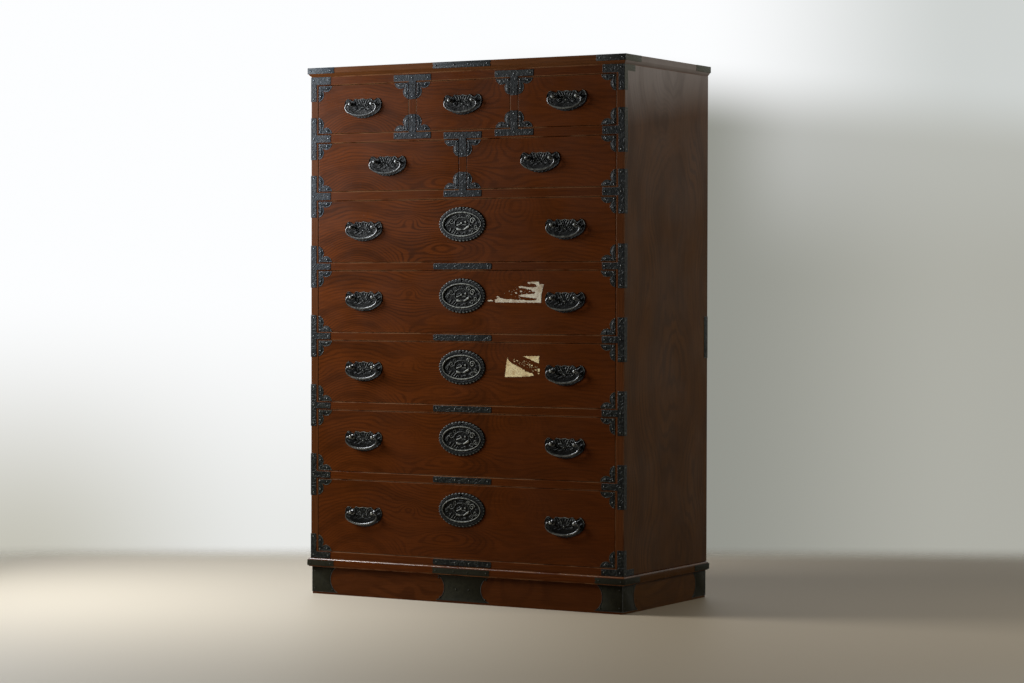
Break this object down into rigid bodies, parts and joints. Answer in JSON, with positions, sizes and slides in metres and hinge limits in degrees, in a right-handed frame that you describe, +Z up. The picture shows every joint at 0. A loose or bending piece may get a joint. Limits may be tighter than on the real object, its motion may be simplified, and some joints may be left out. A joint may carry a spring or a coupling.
{
  "type": "clothing chest",
  "caption": "Tall wooden chest of stacked sliding drawers on a low plinth, with shaped iron corner plates, oval lock plates and swinging bail handles.",
  "frame": {"origin": "on the floor, in the middle of the whole chest's width and depth", "axes": "+X to the viewer's right, -Y out of the drawer fronts, +Z up"},
  "size_m": [1.0164, 0.5164, 1.484],
  "materials": {
    "front_wood": "red-brown lacquer, half worn, over strong flame grain",
    "case_wood": "darker red-brown lacquer, worn on the edges",
    "side_wood": "dull grey-brown, faint upright grain",
    "inner_wood": "bare, planed",
    "iron_sheet": "dark blue-grey scorched and lacquered iron sheet, hammered and chased",
    "bail_iron": "smooth dark iron, rubbed bright by hands"
  },
  "bodies": {
    "carcass": {"top_board": "case_wood", "side_panel_left": "side_wood", "side_panel_right": "side_wood", "back_panel": "inner_wood", "front_rails": "case_wood", "shelf_boards": "inner_wood", "drawer_dividers": "case_wood", "plinth_ledge": "case_wood", "plinth_skirt": "case_wood", "cap_irons": "iron_sheet", "frame_irons_left": "iron_sheet", "frame_irons_right": "iron_sheet", "divider_irons": "iron_sheet", "rail_irons": "iron_sheet", "plinth_irons": "iron_sheet"},
    "drawer_bottom": {"drawer_bottom_front": "front_wood", "drawer_bottom_box": "inner_wood", "drawer_bottom_irons": "iron_sheet"},
    "bail_bottom_left": {"bail_bottom_left": "bail_iron"},
    "bail_bottom_right": {"bail_bottom_right": "bail_iron"},
    "drawer_sixth": {"drawer_sixth_front": "front_wood", "drawer_sixth_box": "inner_wood", "drawer_sixth_irons": "iron_sheet"},
    "bail_sixth_left": {"bail_sixth_left": "bail_iron"},
    "bail_sixth_right": {"bail_sixth_right": "bail_iron"},
    "drawer_fifth": {"drawer_fifth_front": "front_wood", "drawer_fifth_box": "inner_wood", "drawer_fifth_irons": "iron_sheet"},
    "bail_fifth_left": {"bail_fifth_left": "bail_iron"},
    "bail_fifth_right": {"bail_fifth_right": "bail_iron"},
    "drawer_fourth": {"drawer_fourth_front": "front_wood", "drawer_fourth_box": "inner_wood", "drawer_fourth_irons": "iron_sheet"},
    "bail_fourth_left": {"bail_fourth_left": "bail_iron"},
    "bail_fourth_right": {"bail_fourth_right": "bail_iron"},
    "drawer_third": {"drawer_third_front": "front_wood", "drawer_third_box": "inner_wood", "drawer_third_irons": "iron_sheet"},
    "bail_third_left": {"bail_third_left": "bail_iron"},
    "bail_third_right": {"bail_third_right": "bail_iron"},
    "drawer_second_left": {"drawer_second_left_front": "front_wood", "drawer_second_left_box": "inner_wood", "drawer_second_left_irons": "iron_sheet"},
    "bail_second_left": {"bail_second_left": "bail_iron"},
    "drawer_second_right": {"drawer_second_right_front": "front_wood", "drawer_second_right_box": "inner_wood", "drawer_second_right_irons": "iron_sheet"},
    "bail_second_right": {"bail_second_right": "bail_iron"},
    "drawer_top_left": {"drawer_top_left_front": "front_wood", "drawer_top_left_box": "inner_wood", "drawer_top_left_irons": "iron_sheet"},
    "bail_top_left": {"bail_top_left": "bail_iron"},
    "drawer_top_middle": {"drawer_top_middle_front": "front_wood", "drawer_top_middle_box": "inner_wood", "drawer_top_middle_irons": "iron_sheet"},
    "bail_top_middle": {"bail_top_middle": "bail_iron"},
    "drawer_top_right": {"drawer_top_right_front": "front_wood", "drawer_top_right_box": "inner_wood", "drawer_top_right_irons": "iron_sheet"},
    "bail_top_right": {"bail_top_right": "bail_iron"}
  },
  "joints": [
    {"name": "drawer_bottom_slide", "type": "slide", "parent": "carcass", "child": "drawer_bottom", "axis": [0, -1, 0], "range_m": [0, 0.4]},
    {"name": "bail_bottom_left_hinge", "type": "hinge", "parent": "drawer_bottom", "child": "bail_bottom_left", "pos_m": [-0.322, -0.2534, 0.23625], "axis": [-1, 0, 0], "range_deg": [-12, 150]},
    {"name": "bail_bottom_right_hinge", "type": "hinge", "parent": "drawer_bottom", "child": "bail_bottom_right", "pos_m": [0.322, -0.2534, 0.23625], "axis": [-1, 0, 0], "range_deg": [-12, 150]},
    {"name": "drawer_sixth_slide", "type": "slide", "parent": "carcass", "child": "drawer_sixth", "axis": [0, -1, 0], "range_m": [0, 0.4]},
    {"name": "bail_sixth_left_hinge", "type": "hinge", "parent": "drawer_sixth", "child": "bail_sixth_left", "pos_m": [-0.322, -0.2534, 0.44775], "axis": [-1, 0, 0], "range_deg": [-12, 150]},
    {"name": "bail_sixth_right_hinge", "type": "hinge", "parent": "drawer_sixth", "child": "bail_sixth_right", "pos_m": [0.322, -0.2534, 0.44775], "axis": [-1, 0, 0], "range_deg": [-12, 150]},
    {"name": "drawer_fifth_slide", "type": "slide", "parent": "carcass", "child": "drawer_fifth", "axis": [0, -1, 0], "range_m": [0, 0.4]},
    {"name": "bail_fifth_left_hinge", "type": "hinge", "parent": "drawer_fifth", "child": "bail_fifth_left", "pos_m": [-0.322, -0.2534, 0.64325], "axis": [-1, 0, 0], "range_deg": [-12, 150]},
    {"name": "bail_fifth_right_hinge", "type": "hinge", "parent": "drawer_fifth", "child": "bail_fifth_right", "pos_m": [0.322, -0.2534, 0.64325], "axis": [-1, 0, 0], "range_deg": [-12, 150]},
    {"name": "drawer_fourth_slide", "type": "slide", "parent": "carcass", "child": "drawer_fourth", "axis": [0, -1, 0], "range_m": [0, 0.4]},
    {"name": "bail_fourth_left_hinge", "type": "hinge", "parent": "drawer_fourth", "child": "bail_fourth_left", "pos_m": [-0.322, -0.2534, 0.83875], "axis": [-1, 0, 0], "range_deg": [-12, 150]},
    {"name": "bail_fourth_right_hinge", "type": "hinge", "parent": "drawer_fourth", "child": "bail_fourth_right", "pos_m": [0.322, -0.2534, 0.83875], "axis": [-1, 0, 0], "range_deg": [-12, 150]},
    {"name": "drawer_third_slide", "type": "slide", "parent": "carcass", "child": "drawer_third", "axis": [0, -1, 0], "range_m": [0, 0.4]},
    {"name": "bail_third_left_hinge", "type": "hinge", "parent": "drawer_third", "child": "bail_third_left", "pos_m": [-0.322, -0.2534, 1.03425], "axis": [-1, 0, 0], "range_deg": [-12, 150]},
    {"name": "bail_third_right_hinge", "type": "hinge", "parent": "drawer_third", "child": "bail_third_right", "pos_m": [0.322, -0.2534, 1.03425], "axis": [-1, 0, 0], "range_deg": [-12, 150]},
    {"name": "drawer_second_left_slide", "type": "slide", "parent": "carcass", "child": "drawer_second_left", "axis": [0, -1, 0], "range_m": [0, 0.4]},
    {"name": "bail_second_left_hinge", "type": "hinge", "parent": "drawer_second_left", "child": "bail_second_left", "pos_m": [-0.244, -0.2534, 1.215], "axis": [-1, 0, 0], "range_deg": [-12, 150]},
    {"name": "drawer_second_right_slide", "type": "slide", "parent": "carcass", "child": "drawer_second_right", "axis": [0, -1, 0], "range_m": [0, 0.4]},
    {"name": "bail_second_right_hinge", "type": "hinge", "parent": "drawer_second_right", "child": "bail_second_right", "pos_m": [0.244, -0.2534, 1.215], "axis": [-1, 0, 0], "range_deg": [-12, 150]},
    {"name": "drawer_top_left_slide", "type": "slide", "parent": "carcass", "child": "drawer_top_left", "axis": [0, -1, 0], "range_m": [0, 0.4]},
    {"name": "bail_top_left_hinge", "type": "hinge", "parent": "drawer_top_left", "child": "bail_top_left", "pos_m": [-0.32533, -0.2534, 1.3775], "axis": [-1, 0, 0], "range_deg": [-12, 150]},
    {"name": "drawer_top_middle_slide", "type": "slide", "parent": "carcass", "child": "drawer_top_middle", "axis": [0, -1, 0], "range_m": [0, 0.4]},
    {"name": "bail_top_middle_hinge", "type": "hinge", "parent": "drawer_top_middle", "child": "bail_top_middle", "pos_m": [0, -0.2534, 1.3775], "axis": [-1, 0, 0], "range_deg": [-12, 150]},
    {"name": "drawer_top_right_slide", "type": "slide", "parent": "carcass", "child": "drawer_top_right", "axis": [0, -1, 0], "range_m": [0, 0.4]},
    {"name": "bail_top_right_hinge", "type": "hinge", "parent": "drawer_top_right", "child": "bail_top_right", "pos_m": [0.32533, -0.2534, 1.3775], "axis": [-1, 0, 0], "range_deg": [-12, 150]}
  ]
}
